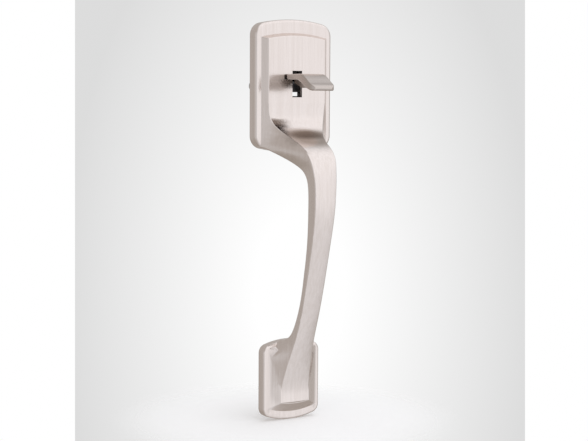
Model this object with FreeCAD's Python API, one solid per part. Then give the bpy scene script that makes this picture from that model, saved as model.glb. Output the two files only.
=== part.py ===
"""Entry door handleset, outside half: plate, thumbpiece, neck, grip and foot, with its latch drive.

Millimetres. The origin is the latch spindle's axis in the plane of the door's face. The front
faces -Y, the door and its bore are on the +Y side, and +Z is up.
"""
import FreeCAD, Part
import math
import os

Vector = FreeCAD.Vector

# Upper plate
PLATE_HALF_WIDTH = 31.7
PLATE_TOP = 47.9
PLATE_BOTTOM = -47.9
PLATE_ARCH_RADIUS = 115.0
PLATE_CORNER_RADIUS = 9.5
PLATE_DEPTH = 9.0
PLATE_EDGE_RADIUS = 2.4

# Raised panel on the upper plate
PANEL_RISE = 4.5
PANEL_FOOT_HALF_WIDTH = 27.2
PANEL_HALF_WIDTH = 23.6
PANEL_TOP_MARGIN = 9.8
PANEL_TOP_SLOPE = 2.2
PANEL_LOWER_END = -12.0
PANEL_EDGE_RADIUS = 0.9
# How far the panel laps over the neck's upper end, and how far the neck lies under it there
PANEL_LAP = 0.3
PANEL_LAP_DEPTH = 0.04

# Foot plate
FOOT_HALF_WIDTH = 23.7
FOOT_TOP = -186.0
FOOT_BOTTOM = -245.4
FOOT_ARCH_RADIUS = 62.0
FOOT_CORNER_RADIUS = 6.5
FOOT_DEPTH = 7.5
FOOT_EDGE_RADIUS = 1.8
FOOT_PAD_RISE = 5.2
FOOT_PAD_SIDE_MARGIN = 3.9
FOOT_PAD_TOP_MARGIN = 2.4
FOOT_PAD_BOTTOM_MARGIN = 6.1
FOOT_PAD_HALF_WIDTH = 11.9
FOOT_PAD_TOP_SLOPE = 2.6
FOOT_PAD_BOTTOM_SLOPE = 6.7
FOOT_PAD_EDGE_RADIUS = 0.8
FOOT_PAD_LEDGE = 0.4

# Neck: the S-shaped face that sweeps from the panel out to the grip.
# Each station is (share of the neck's drop, share of its reach, half width of the face).
NECK_DROP = 58.0
NECK_STATIONS = (
    (0.00, 0.000, 23.6),
    (0.06, -0.007, 23.2),
    (0.12, -0.010, 22.9),
    (0.18, 0.000, 22.3),
    (0.27, 0.053, 20.4),
    (0.34, 0.155, 17.8),
    (0.41, 0.304, 14.6),
    (0.48, 0.490, 12.3),
    (0.55, 0.691, 11.3),
    (0.60, 0.790, 11.0),
    (0.65, 0.860, 10.7),
    (0.71, 0.912, 10.4),
    (0.78, 0.947, 10.0),
    (0.85, 0.972, 9.6),
    (0.93, 0.992, 9.2),
)
# Half width of the neck's root on the plate, below the plate's lower corners
NECK_ROOT_STATIONS = ((0.60, 26.4), (0.65, 23.8), (0.71, 19.2), (0.78, 13.4), (0.85, 10.6))
NECK_EDGE_RADIUS = 0.8

# Grip: (share of the way from the neck to the foot pad, reach from the door, half width)
GRIP_REACH = 54.2
GRIP_STATIONS = (
    (0.04, 54.3, 8.70),
    (0.12, 53.3, 8.40),
    (0.20, 50.9, 8.10),
    (0.32, 46.1, 7.85),
    (0.46, 39.9, 7.80),
    (0.60, 32.7, 7.75),
    (0.69, 26.9, 8.10),
    (0.735, 23.8, 8.55),
    (0.78, 20.8, 9.20),
    (0.83, 17.6, 10.0),
    (0.88, 14.8, 10.8),
    (0.93, 13.0, 11.3),
)
# Half width of the grip's root where its sides spread out over the foot's pad, at a share of the same way
FOOT_ROOT_STATIONS = (
    (0.69, 9.4),
    (0.735, 13.6),
    (0.78, 19.2),
    (0.83, 19.4),
    (0.88, 19.3),
    (0.93, 19.3),
)
GRIP_CROWN = 0.7
GRIP_SIDE_DRAFT = 0.35
GRIP_EDGE_RADIUS = 1.1
GRIP_BACK_EDGE_RADIUS = 1.4

# Underside of the neck and back of the grip: (height, reach from the door)
UNDERSIDE_STATIONS = (
    (-47.9, 9.0),
    (-49.0, 15.0),
    (-51.2, 21.0),
    (-54.2, 27.5),
    (-57.4, 33.0),
    (-60.8, 38.2),
    (-65.5, 41.9),
    (-72.0, 43.5),
    (-82.0, 43.6),
    (-97.0, 42.7),
    (-115.0, 40.6),
    (-135.0, 36.7),
    (-152.0, 32.6),
    (-164.0, 28.2),
    (-175.0, 22.6),
    (-181.5, 17.7),
    (-184.6, 12.6),
    (-185.6, 7.5),
)

# Walls of the casting
CASTING_WALL = 2.7
RIM_WALL = 2.6

# Slot for the thumbpiece
SLOT_HALF_WIDTH = 4.0
SLOT_TOP = 10.9
SLOT_BOTTOM = -8.1

# Thumbpiece
THUMB_RANGE = 20.0
PIVOT_DEPTH = 5.2
PIVOT_HEIGHT = 6.4
PIVOT_PIN_RADIUS = 1.5
PIVOT_PIN_MARGIN = 0.15
RUNNING_CLEARANCE = 0.05
BARREL_RADIUS = 2.9
BARREL_RIGHT = 4.0
THUMB_PAD_HALF_WIDTH = 9.7
THUMB_PAD_CORNER_RADIUS = 4.8
THUMB_PAD_EDGE_RADIUS = 1.1
THUMB_PAD_BACK = 15.6
THUMB_PAD_LEVEL = 17.4
THUMB_PAD_TIP = 51.2
THUMB_PAD_TOP = 8.4
THUMB_PAD_THICKNESS = 3.9
THUMB_PAD_DROP = 12.0
THUMB_NECK_HALF_WIDTH = 3.2
THUMB_GUSSET_ROOT = 3.2
THUMB_GUSSET_BOTTOM = -1.5
THUMB_GUSSET_BACK = 25.0
THUMB_GUSSET_REACH = 28.0
HOOK_LEFT = -9.0
HOOK_RIGHT = -4.9
HOOK_THICKNESS = 2.6
HOOK_REACH = 11.6
HOOK_NOSE_RADIUS = 1.1
HOOK_FOOT_THICKNESS = 1.9
PIN_CLEARANCE = 0.45
HOOK_WINDOW_MARGIN = 0.45
HOOK_WINDOW_TOP = 2.2
PIN_TAB_GAP = 0.45
PIN_TAB_HALF_HEIGHT = 2.0
BUMPER_DEPTH = 3.0
BUMPER_HEIGHT = 3.0
SEAT_CLEARANCE = 0.3

# Pivot cradles, clips and spring on the pin
CRADLE_GAP = 0.45
CRADLE_THICKNESS = 3.0
CRADLE_HALF_HEIGHT = 4.0
CLIP_THICKNESS = 0.8
CLIP_RADIUS = 2.9
CLIP_GROOVE_DEPTH = 0.35
THUMB_SPRING_WIRE = 0.8
THUMB_SPRING_RADIUS = 2.55
THUMB_SPRING_TURNS = 4.5
THUMB_SPRING_PITCH = 1.1
BEAD_RATIO = 1.12
WIRE_SIDES = 6
COIL_STEPS = 12

# Back plate
SHEET = 1.5
BACK_PLATE_RECESS = 0.3
BACK_PLATE_HALF_WIDTH = 26.3
BACK_PLATE_HALF_HEIGHT = 32.5
BACK_PLATE_CORNER_RADIUS = 6.0
PLATE_SCREW_SIDE_MARGIN = 4.8
PLATE_SCREW_END_MARGIN = 5.5
PLATE_SCREW_RADIUS = 1.5
PLATE_SCREW_HEAD_RADIUS = 2.8
PLATE_SCREW_LENGTH = 6.5
PLATE_BOSS_RADIUS = 3.4
SCREW_CLEARANCE = 0.05
SIGHT_WINDOW_INNER = 2.7
SIGHT_WINDOW_OUTER = 7.6
SIGHT_WINDOW_TOP = -4.3
SIGHT_WINDOW_BOTTOM = -7.2

# Drive cam
CAM_RANGE = 36.0
CAM_ARM_RADIUS = 6.5
CAM_PIN_RADIUS = 1.1
CAM_PIN_FRONT = 3.4
CAM_ARM_FRONT = 9.4
CAM_ARM_THICKNESS = 2.4
CAM_LOBE_RADIUS = 2.2
CAM_HUB_RADIUS = 5.3
CAM_PILOT_RADIUS = 3.2
CAM_SHAFT_RADIUS = 4.2
CAM_JOURNAL_RADIUS = 4.8
CAM_WASHER_THICKNESS = 0.5
CAM_WASHER_RADIUS = 7.0
SEAT_GAP = 0.1
BUSH_WALL = 0.9
BUSH_FLANGE_RADIUS = 7.2
BUSH_FLANGE_THICKNESS = 0.8
RING_THICKNESS = 0.8
RING_RADIUS = 6.3
RING_GROOVE_DEPTH = 0.6
CAM_TAIL = 0.9

# Spindle
SPINDLE_RADIUS = 3.0
SPINDLE_FLAT = 0.7
SPINDLE_END = 52.0
SPINDLE_TIP_CHAMFER = 0.8
SPINDLE_SOCKET_BOTTOM = 3.2
SPINDLE_PIN_RADIUS = 0.8
SPINDLE_PIN_DEPTH = 6.6

# Latch bracket
BRACKET_HALF_WIDTH = 8.0
BRACKET_HALF_HEIGHT = 17.0
BRACKET_FOOT_END = 24.0
BRACKET_BEND_RADIUS = 2.0
BRACKET_SCREW_X = 4.5
BRACKET_SCREW_Z = 20.6
BRACKET_SCREW_RADIUS = 1.45
BRACKET_SCREW_HEAD_RADIUS = 2.6
BRACKET_SCREW_HEAD_HEIGHT = 1.8
BRACKET_SCREW_LENGTH = 4.5

# Cam return spring
RETURN_WIRE = 0.6
RETURN_COIL_RADIUS = 1.6
RETURN_PITCH = 0.85
RETURN_LOOP_GAP = 2.4
RETURN_HOOK_TURN = 0.94
STUD_RADIUS = 0.95
STUD_HEAD_RADIUS = 1.5
STUD_HEAD_THICKNESS = 0.6
SPRING_DEPTH = 7.6
ANCHOR_HEIGHT = 13.6

# Mounting posts
POST_SPACING = 38.0
POST_RADIUS = 4.0
POST_END = 18.0
POST_BORE_RADIUS = 2.1
POST_SHANK_RADIUS = 3.1
POST_HEAD_RADIUS = 4.6
POST_HEAD_THICKNESS = 1.3
FOOT_POST_DROP = 30.1
FOOT_POST_END = 12.0
FOOT_POST_SEAT = 1.5
FOOT_POST_STUD_RADIUS = 2.4
FOOT_POST_STUD_LENGTH = 6.5
FOOT_BOSS_RADIUS = 5.5

# Places worked out from the sizes above
PANEL_FRONT = PLATE_DEPTH + PANEL_RISE
PANEL_BACK = PANEL_FRONT - CASTING_WALL
GRIP_TOP = PANEL_LOWER_END - NECK_DROP
FOOT_FRONT = FOOT_DEPTH + FOOT_PAD_RISE
FOOT_PAD_END = FOOT_BOTTOM + FOOT_PAD_BOTTOM_MARGIN + FOOT_PAD_BOTTOM_SLOPE
FOOT_POST_Z = FOOT_BOTTOM + FOOT_POST_DROP
BACK_PLATE_REAR = -BACK_PLATE_RECESS
BACK_PLATE_FRONT = BACK_PLATE_REAR - SHEET
CAM_ARM_REAR = CAM_ARM_FRONT + CAM_ARM_THICKNESS
BRIDGE_FRONT = CAM_ARM_REAR + CAM_WASHER_THICKNESS + 2 * SEAT_GAP
BRIDGE_REAR = BRIDGE_FRONT + SHEET
BUSH_REAR = BRIDGE_REAR + BUSH_FLANGE_THICKNESS
BUSH_RADIUS = CAM_JOURNAL_RADIUS + BUSH_WALL
RING_FRONT = BUSH_REAR + SEAT_GAP
CAM_END = RING_FRONT + RING_THICKNESS + CAM_TAIL
BARREL_LEFT = HOOK_LEFT
SPRING_LEFT = BARREL_RIGHT + SEAT_CLEARANCE + THUMB_SPRING_WIRE / 2
SPRING_RIGHT = SPRING_LEFT + THUMB_SPRING_PITCH * THUMB_SPRING_TURNS
CRADLE_INNER = SPRING_RIGHT + THUMB_SPRING_WIRE / 2 + CRADLE_GAP
CLIP_FACE = CRADLE_INNER + CRADLE_THICKNESS + SEAT_GAP
PIN_TAB_X = CLIP_FACE + SEAT_GAP + CLIP_THICKNESS + PIN_TAB_GAP + SHEET / 2
PIVOT_PIN_HALF_LENGTH = PIN_TAB_X + SHEET / 2 + PIVOT_PIN_MARGIN
PLATE_SCREW_X = BACK_PLATE_HALF_WIDTH - PLATE_SCREW_SIDE_MARGIN
PLATE_SCREW_Z = BACK_PLATE_HALF_HEIGHT - PLATE_SCREW_END_MARGIN


def box(x0, x1, y0, y1, z0, z1):
    """A box between two corners."""
    return Part.makeBox(x1 - x0, y1 - y0, z1 - z0, Vector(x0, y0, z0))


def cylinder_y(radius, y0, y1, x=0.0, z=0.0):
    """A cylinder along Y from y0 to y1."""
    return Part.makeCylinder(radius, y1 - y0, Vector(x, y0, z), Vector(0, 1, 0))


def cylinder_x(radius, x0, x1, y, z):
    """A cylinder along X from x0 to x1."""
    return Part.makeCylinder(radius, x1 - x0, Vector(x0, y, z), Vector(1, 0, 0))


def profile_x(points, x0, x1):
    """A prism along X whose section is a closed polygon of (y, z) points."""
    corners = [Vector(x0, y, z) for y, z in points]
    face = Part.Face(Part.makePolygon(corners + corners[:1]))
    return face.extrude(Vector(x1 - x0, 0, 0))


def fillet_where(shape, radius, wanted):
    """Round the edges whose middle point meets the test."""
    chosen = []
    for edge in shape.Edges:
        middle = edge.valueAt((edge.FirstParameter + edge.LastParameter) / 2)
        if wanted(edge, middle):
            chosen.append(edge)
    return shape.makeFillet(radius, chosen)


def arched_outline(half_width, top, bottom, arch_radius, corner_radius, y):
    """Outline with straight sides, arched ends and rounded corners, in the plane at y."""
    reach = math.sqrt((arch_radius - corner_radius) ** 2 - (half_width - corner_radius) ** 2)
    shift = (half_width - corner_radius) * arch_radius / (arch_radius - corner_radius)
    rise = reach * arch_radius / (arch_radius - corner_radius)
    edges = []
    for end, sign in ((top, 1), (bottom, -1)):
        centre = end - sign * arch_radius
        corner = centre + sign * reach
        tangent = centre + sign * rise
        slant = math.hypot(shift - half_width + corner_radius, tangent - corner)
        middle_x = half_width - corner_radius + corner_radius * math.cos(math.acos(
            (shift - half_width + corner_radius) / slant) / 2)
        middle_z = corner + sign * corner_radius * math.sin(math.acos(
            (shift - half_width + corner_radius) / slant) / 2)
        right_side = Vector(half_width, y, corner)
        left_side = Vector(-half_width, y, corner)
        right_arch = Vector(shift, y, tangent)
        left_arch = Vector(-shift, y, tangent)
        edges.append(Part.Arc(right_side, Vector(middle_x, y, middle_z), right_arch).toShape())
        edges.append(Part.Arc(right_arch, Vector(0, y, end), left_arch).toShape())
        edges.append(Part.Arc(left_arch, Vector(-middle_x, y, middle_z), left_side).toShape())
    top_corner = top - arch_radius + reach
    bottom_corner = bottom + arch_radius - reach
    edges.append(Part.makeLine(Vector(half_width, y, bottom_corner), Vector(half_width, y, top_corner)))
    edges.append(Part.makeLine(Vector(-half_width, y, bottom_corner), Vector(-half_width, y, top_corner)))
    return Part.Wire(Part.__sortEdges__(edges))


def arched_prism(half_width, top, bottom, arch_radius, corner_radius, y0, y1):
    """A straight prism on an arched outline, from y0 back to y1."""
    face = Part.Face(arched_outline(half_width, top, bottom, arch_radius, corner_radius, y1))
    return face.extrude(Vector(0, y0 - y1, 0))


def arched_plate(half_width, top, bottom, arch_radius, corner_radius, depth, edge_radius):
    """A plate on the door's face with its front edge rounded."""
    plate = arched_prism(half_width, top, bottom, arch_radius, corner_radius, -depth, 0)
    return fillet_where(plate, edge_radius, lambda edge, middle: abs(middle.y + depth) < 1e-6)


def square_arched_wire(half_width, top, bottom, top_radius, bottom_radius, y):
    """Outline with arched ends and sharp corners, in the plane at y."""
    top_corner = top - top_radius + math.sqrt(top_radius ** 2 - half_width ** 2)
    bottom_corner = bottom + bottom_radius - math.sqrt(bottom_radius ** 2 - half_width ** 2)
    top_right = Vector(half_width, y, top_corner)
    top_left = Vector(-half_width, y, top_corner)
    bottom_right = Vector(half_width, y, bottom_corner)
    bottom_left = Vector(-half_width, y, bottom_corner)
    return Part.Wire([
        Part.makeLine(bottom_right, top_right),
        Part.Arc(top_right, Vector(0, y, top), top_left).toShape(),
        Part.makeLine(top_left, bottom_left),
        Part.Arc(bottom_left, Vector(0, y, bottom), bottom_right).toShape(),
    ])


def neck_section(z, reach, half_width, root_half_width, root_reach, crown, radius):
    """Section of the neck or grip at one height: root line, two sides, rounded edges and a crowned face."""
    side = Vector(half_width - root_half_width, -(reach - root_reach), 0)
    side.normalize()
    inward = Vector(side.y, -side.x, 0)
    face_radius = (half_width ** 2 + crown ** 2) / (2 * crown)
    face_centre = -(reach + crown) + face_radius
    root = Vector(root_half_width, -root_reach, 0)
    start = root + inward * radius
    offset = Vector(start.x, start.y - face_centre, 0)
    along = offset.dot(side)
    gap = offset.dot(offset) - (face_radius - radius) ** 2
    centre = start + side * (-along + math.sqrt(along ** 2 - gap))
    side_point = centre - inward * radius
    outward = Vector(centre.x, centre.y - face_centre, 0)
    outward.normalize()
    face_point = centre + outward * radius
    bisector = outward - inward
    bisector.normalize()
    middle = centre + bisector * radius

    def at(point, sign=1):
        return Vector(sign * point.x, point.y, z)

    return Part.Wire([
        Part.makeLine(at(root), at(side_point)),
        Part.Arc(at(side_point), at(middle), at(face_point)).toShape(),
        Part.Arc(at(face_point), Vector(0, -(reach + crown), z), at(face_point, -1)).toShape(),
        Part.Arc(at(face_point, -1), at(middle, -1), at(side_point, -1)).toShape(),
        Part.makeLine(at(side_point, -1), at(root, -1)),
        Part.makeLine(at(root, -1), at(root)),
    ])


def root_half_width(stations, share, otherwise):
    """Half width of the root line at a share of the way, where the stations give one."""
    for station_share, station_width in stations:
        if abs(share - station_share) < 1e-9:
            return station_width
    return otherwise


def grip_loft():
    """The neck and the grip as one smooth loft of sections, from the panel down to the foot pad."""
    sections = []
    reach_range = GRIP_REACH - PANEL_FRONT
    slope_depth = PLATE_DEPTH - RIM_WALL
    for share, reach_share, half_width in NECK_STATIONS:
        z = PANEL_LOWER_END - share * NECK_DROP
        under = PANEL_LAP_DEPTH if share == 0 else 0.0
        reach = PANEL_FRONT - under + reach_share * reach_range
        half_width -= under
        plain = PANEL_FOOT_HALF_WIDTH if share <= NECK_ROOT_STATIONS[0][0] else half_width + GRIP_SIDE_DRAFT
        root = root_half_width(NECK_ROOT_STATIONS, share, plain) - under
        lean = (root - half_width) / (reach - PLATE_DEPTH)
        root_at_depth = root + lean * (PLATE_DEPTH - slope_depth)
        crown = max(0.02, GRIP_CROWN * min(1.0, max(0.0, (share - 0.3) / 0.5)))
        radius = PANEL_EDGE_RADIUS + (GRIP_EDGE_RADIUS - PANEL_EDGE_RADIUS) * max(0.0, share - 0.3) / 0.7
        sections.append(neck_section(z, reach, half_width, root_at_depth, slope_depth, crown, radius))
    span = GRIP_TOP - FOOT_PAD_END
    foot_depth = FOOT_DEPTH - RIM_WALL / 2
    for share, reach, half_width in GRIP_STATIONS:
        z = GRIP_TOP - share * span
        root = root_half_width(FOOT_ROOT_STATIONS, share, half_width + GRIP_SIDE_DRAFT)
        sections.append(neck_section(z, reach, half_width, root, foot_depth, GRIP_CROWN, GRIP_EDGE_RADIUS))
    end_half_width = FOOT_PAD_HALF_WIDTH - FOOT_PAD_LEDGE
    for z in (FOOT_PAD_END + FOOT_PAD_RISE / 2, FOOT_PAD_END - FOOT_PAD_RISE / 2):
        sections.append(neck_section(z, FOOT_FRONT, end_half_width, end_half_width + GRIP_SIDE_DRAFT,
                                     foot_depth, GRIP_CROWN, GRIP_EDGE_RADIUS))
    return Part.makeLoft(sections, True, False)


def finger_gap():
    """The space behind the neck and the grip, arched across like the plate's lower end."""
    points = [Vector(0, -reach, z) for z, reach in UNDERSIDE_STATIONS]
    curve = Part.BSplineCurve()
    curve.interpolate(points)
    behind = 6.0
    first, last = points[0], points[-1]
    top_rear = Vector(0, behind, first.z)
    low_rear = Vector(0, behind, last.z)
    outline = Part.Wire([
        curve.toShape(),
        Part.makeLine(last, low_rear),
        Part.makeLine(low_rear, top_rear),
        Part.makeLine(top_rear, first),
    ])
    axis_point = Vector(0, 0, PLATE_BOTTOM + PLATE_ARCH_RADIUS)
    half_turn = 22.0
    face = Part.Face(outline)
    face.rotate(axis_point, Vector(0, 1, 0), -half_turn)
    return face.revolve(axis_point, Vector(0, 1, 0), 2 * half_turn)


def trimmed_to(shape, depth, outline_prism):
    """Cut away what lies behind the front of a plate and outside its outline."""
    far = 400.0
    behind = box(-far, far, -depth, far, -far, far)
    return shape.cut(behind.cut(outline_prism))


def panel_block():
    """The raised panel: a hipped block whose lower end meets the neck."""
    top_radius = PLATE_ARCH_RADIUS
    foot = square_arched_wire(PANEL_FOOT_HALF_WIDTH, PLATE_TOP - PANEL_TOP_MARGIN, PLATE_BOTTOM,
                              top_radius, top_radius, -PLATE_DEPTH)
    crest = square_arched_wire(PANEL_HALF_WIDTH, PLATE_TOP - PANEL_TOP_MARGIN - PANEL_TOP_SLOPE,
                               PLATE_BOTTOM + PANEL_TOP_SLOPE, top_radius, top_radius, -PANEL_FRONT)
    block = Part.makeLoft([foot, crest], True, True)
    far = 100.0
    block = block.cut(box(-far, far, -far, far, -far, PANEL_LOWER_END - PANEL_LAP))
    return fillet_where(block, PANEL_EDGE_RADIUS, lambda edge, middle:
                        middle.y < -PLATE_DEPTH - 0.2 and middle.z > PANEL_LOWER_END + 0.2
                        and (abs(middle.x) > 1e-6 or middle.z > 0))


def foot_pad():
    """The hipped pad on the foot plate."""
    wide = square_arched_wire(
        FOOT_HALF_WIDTH - FOOT_PAD_SIDE_MARGIN, FOOT_TOP - FOOT_PAD_TOP_MARGIN,
        FOOT_BOTTOM + FOOT_PAD_BOTTOM_MARGIN, FOOT_ARCH_RADIUS, FOOT_ARCH_RADIUS, -FOOT_DEPTH)
    narrow = square_arched_wire(
        FOOT_PAD_HALF_WIDTH, FOOT_TOP - FOOT_PAD_TOP_MARGIN - FOOT_PAD_TOP_SLOPE, FOOT_PAD_END,
        FOOT_ARCH_RADIUS, FOOT_ARCH_RADIUS, -FOOT_FRONT)
    pad = Part.makeLoft([wide, narrow], True, True)
    return fillet_where(pad, FOOT_PAD_EDGE_RADIUS, lambda edge, middle: middle.y < -FOOT_DEPTH - 0.2)


def below_pad():
    """The space under the foot pad's lower wall, which ends the neck along the same arch."""
    steps = 4
    half = FOOT_HALF_WIDTH + 10
    low = FOOT_BOTTOM + FOOT_PAD_BOTTOM_MARGIN + FOOT_PAD_LEDGE
    wide = square_arched_wire(half, FOOT_TOP, low, FOOT_ARCH_RADIUS, FOOT_ARCH_RADIUS, -FOOT_DEPTH)
    narrow = square_arched_wire(
        half, FOOT_TOP, low + steps * FOOT_PAD_BOTTOM_SLOPE,
        FOOT_ARCH_RADIUS, FOOT_ARCH_RADIUS, -FOOT_DEPTH - steps * FOOT_PAD_RISE)
    kept = Part.makeLoft([wide, narrow], True, True)
    under = box(-half, half, -FOOT_DEPTH - steps * FOOT_PAD_RISE, -FOOT_DEPTH,
                FOOT_BOTTOM, FOOT_PAD_END + 2 * FOOT_PAD_RISE)
    return under.cut(kept)


def upper_cavity():
    """Hollow of the upper plate, the panel and the neck, seen from the back."""
    rim = arched_prism(PLATE_HALF_WIDTH - RIM_WALL, PLATE_TOP - RIM_WALL, PLATE_BOTTOM + RIM_WALL,
                       PLATE_ARCH_RADIUS - RIM_WALL, PLATE_CORNER_RADIUS - RIM_WALL,
                       -PLATE_DEPTH + CASTING_WALL, 1)
    half = PANEL_HALF_WIDTH - RIM_WALL
    top = PLATE_TOP - PANEL_TOP_MARGIN - PANEL_TOP_SLOPE - RIM_WALL
    low = PLATE_BOTTOM + RIM_WALL + PLATE_CORNER_RADIUS
    panel = box(-half, half, -PANEL_BACK, 1, low, top)
    core_top = PANEL_LOWER_END - 0.24 * NECK_DROP
    core_low = PLATE_BOTTOM + RIM_WALL + 1.0
    core = profile_x([(1, core_top), (-PANEL_BACK, core_top), (-PANEL_BACK - 5.3, core_top - 7.0),
                      (-PANEL_BACK - 13.3, core_low + 4.0), (-PANEL_BACK - 13.3, core_low), (1, core_low)],
                     -SLOT_HALF_WIDTH - 5.0, SLOT_HALF_WIDTH + 5.0)
    return rim.fuse([panel, core])


def foot_cavity():
    """Hollow of the foot plate, seen from the back."""
    rim = arched_prism(FOOT_HALF_WIDTH - RIM_WALL, FOOT_TOP - RIM_WALL, FOOT_BOTTOM + RIM_WALL,
                       FOOT_ARCH_RADIUS - RIM_WALL, FOOT_CORNER_RADIUS - RIM_WALL,
                       -FOOT_DEPTH + CASTING_WALL, 1)
    half = FOOT_PAD_HALF_WIDTH - RIM_WALL / 2
    top = FOOT_TOP - FOOT_PAD_TOP_MARGIN - FOOT_PAD_TOP_SLOPE - RIM_WALL
    pad = box(-half, half, -FOOT_FRONT + CASTING_WALL, 1, FOOT_PAD_END + RIM_WALL, top)
    return rim.fuse(pad)


def pin_cradle(sign):
    """One cradle of the casting, with an open groove that the pivot pin lies in."""
    inner = sign * CRADLE_INNER
    outer = sign * (CRADLE_INNER + CRADLE_THICKNESS)
    x0, x1 = min(inner, outer), max(inner, outer)
    lug = box(x0, x1, -PANEL_BACK - 0.5, BACK_PLATE_FRONT - SEAT_CLEARANCE,
              PIVOT_HEIGHT - CRADLE_HALF_HEIGHT, PIVOT_HEIGHT + CRADLE_HALF_HEIGHT)
    radius = PIVOT_PIN_RADIUS + RUNNING_CLEARANCE
    groove = cylinder_x(radius, x0 - 1, x1 + 1, -PIVOT_DEPTH, PIVOT_HEIGHT)
    mouth = box(x0 - 1, x1 + 1, -PIVOT_DEPTH, 0, PIVOT_HEIGHT - radius, PIVOT_HEIGHT + radius)
    return lug.cut(groove.fuse(mouth))


def screw_bosses():
    """Bosses for the back plate's screws, with their holes, as (solids, holes)."""
    bosses = []
    holes = []
    for x in (-PLATE_SCREW_X, PLATE_SCREW_X):
        for z in (-PLATE_SCREW_Z, PLATE_SCREW_Z):
            bosses.append(cylinder_y(PLATE_BOSS_RADIUS, -PLATE_DEPTH - 0.5, BACK_PLATE_FRONT, x, z))
            holes.append(cylinder_y(PLATE_SCREW_RADIUS + SCREW_CLEARANCE,
                                    BACK_PLATE_REAR - PLATE_SCREW_LENGTH - 0.5, 0, x, z))
    return bosses, holes


def handle_body():
    """The one-piece casting: both plates, the panel, the neck, the grip and the foot."""
    upper_outline = arched_prism(PLATE_HALF_WIDTH, PLATE_TOP, PLATE_BOTTOM, PLATE_ARCH_RADIUS,
                                 PLATE_CORNER_RADIUS, -PLATE_DEPTH, 0)
    foot_outline = arched_prism(FOOT_HALF_WIDTH, FOOT_TOP, FOOT_BOTTOM, FOOT_ARCH_RADIUS,
                                FOOT_CORNER_RADIUS, -FOOT_DEPTH, 0)
    neck = grip_loft().cut(finger_gap())
    neck = fillet_where(neck, GRIP_BACK_EDGE_RADIUS, is_grip_back_edge)
    neck = neck.cut(below_pad())
    neck = trimmed_to(neck, FOOT_DEPTH, upper_outline.fuse(foot_outline))
    upper = arched_plate(PLATE_HALF_WIDTH, PLATE_TOP, PLATE_BOTTOM, PLATE_ARCH_RADIUS,
                         PLATE_CORNER_RADIUS, PLATE_DEPTH, PLATE_EDGE_RADIUS)
    foot = arched_plate(FOOT_HALF_WIDTH, FOOT_TOP, FOOT_BOTTOM, FOOT_ARCH_RADIUS,
                        FOOT_CORNER_RADIUS, FOOT_DEPTH, FOOT_EDGE_RADIUS)
    body = upper.fuse([foot, panel_block(), foot_pad(), neck])
    bosses, holes = screw_bosses()
    foot_boss = cylinder_y(FOOT_BOSS_RADIUS, -FOOT_FRONT + 1, -FOOT_POST_SEAT, 0, FOOT_POST_Z)
    body = body.cut(upper_cavity().fuse(foot_cavity()))
    body = body.fuse(bosses + [foot_boss, pin_cradle(-1), pin_cradle(1)])
    slot = box(-SLOT_HALF_WIDTH, SLOT_HALF_WIDTH, -PANEL_FRONT - 5, -1, SLOT_BOTTOM, SLOT_TOP)
    foot_hole = cylinder_y(FOOT_POST_STUD_RADIUS + SCREW_CLEARANCE,
                           -FOOT_POST_SEAT - FOOT_POST_STUD_LENGTH - 0.5, 0, 0, FOOT_POST_Z)
    body = body.cut(holes[0].fuse(holes[1:] + [slot, foot_hole]))
    return body.removeSplitter()


def is_grip_back_edge(edge, middle):
    """True for the two long edges at the back of the grip."""
    return (PLATE_BOTTOM - 1.5 > middle.z > FOOT_TOP and middle.y < -FOOT_DEPTH - 1
            and abs(middle.x) > 4 and 60 < edge.Length < PLATE_BOTTOM - FOOT_BOTTOM)


def thumb_pad():
    """The waterfall thumb pad: a level plate that bends down to a rounded lip."""
    shoulder = THUMB_PAD_BACK + THUMB_PAD_LEVEL
    run = THUMB_PAD_TIP - shoulder
    top_curve = ((0.0, 0.0), (0.30, 0.125), (0.56, 0.36), (0.80, 0.585), (0.96, 0.74))
    under_curve = ((0.93, 1.0), (0.66, 0.955), (0.40, 0.80), (0.17, 0.60), (-0.06, 0.43), (-0.28, 0.345))

    def place(run_share, drop_share):
        return Vector(0, -(shoulder + run_share * run), THUMB_PAD_TOP - drop_share * THUMB_PAD_DROP)

    upper = Part.BSplineCurve()
    upper.interpolate([place(*pair) for pair in top_curve], InitialTangent=Vector(0, -1, 0),
                      FinalTangent=Vector(0, -1, -1))
    lower = Part.BSplineCurve()
    lower.interpolate([place(*pair) for pair in under_curve])
    back_top = Vector(0, -THUMB_PAD_BACK, THUMB_PAD_TOP)
    back_low = Vector(0, -THUMB_PAD_BACK, THUMB_PAD_TOP - THUMB_PAD_THICKNESS)
    lip = Part.Arc(place(*top_curve[-1]), place(1.0, 0.86), place(*under_curve[0]))
    outline = Part.Wire([
        Part.makeLine(back_top, place(*top_curve[0])),
        upper.toShape(),
        lip.toShape(),
        lower.toShape(),
        Part.makeLine(place(*under_curve[-1]), back_low),
        Part.makeLine(back_low, back_top),
    ])
    pad = Part.Face(outline).extrude(Vector(2 * THUMB_PAD_HALF_WIDTH, 0, 0))
    pad.translate(Vector(-THUMB_PAD_HALF_WIDTH, 0, 0))
    plan = box(-THUMB_PAD_HALF_WIDTH, THUMB_PAD_HALF_WIDTH, -THUMB_PAD_TIP - 0.2, 0,
               THUMB_PAD_TOP - 2 * THUMB_PAD_DROP, THUMB_PAD_TOP + 1)
    plan = fillet_where(plan, THUMB_PAD_CORNER_RADIUS, lambda edge, middle:
                        middle.y < -THUMB_PAD_TIP and abs(middle.x) > THUMB_PAD_HALF_WIDTH - 0.1)
    return pad.common(plan)


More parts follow.
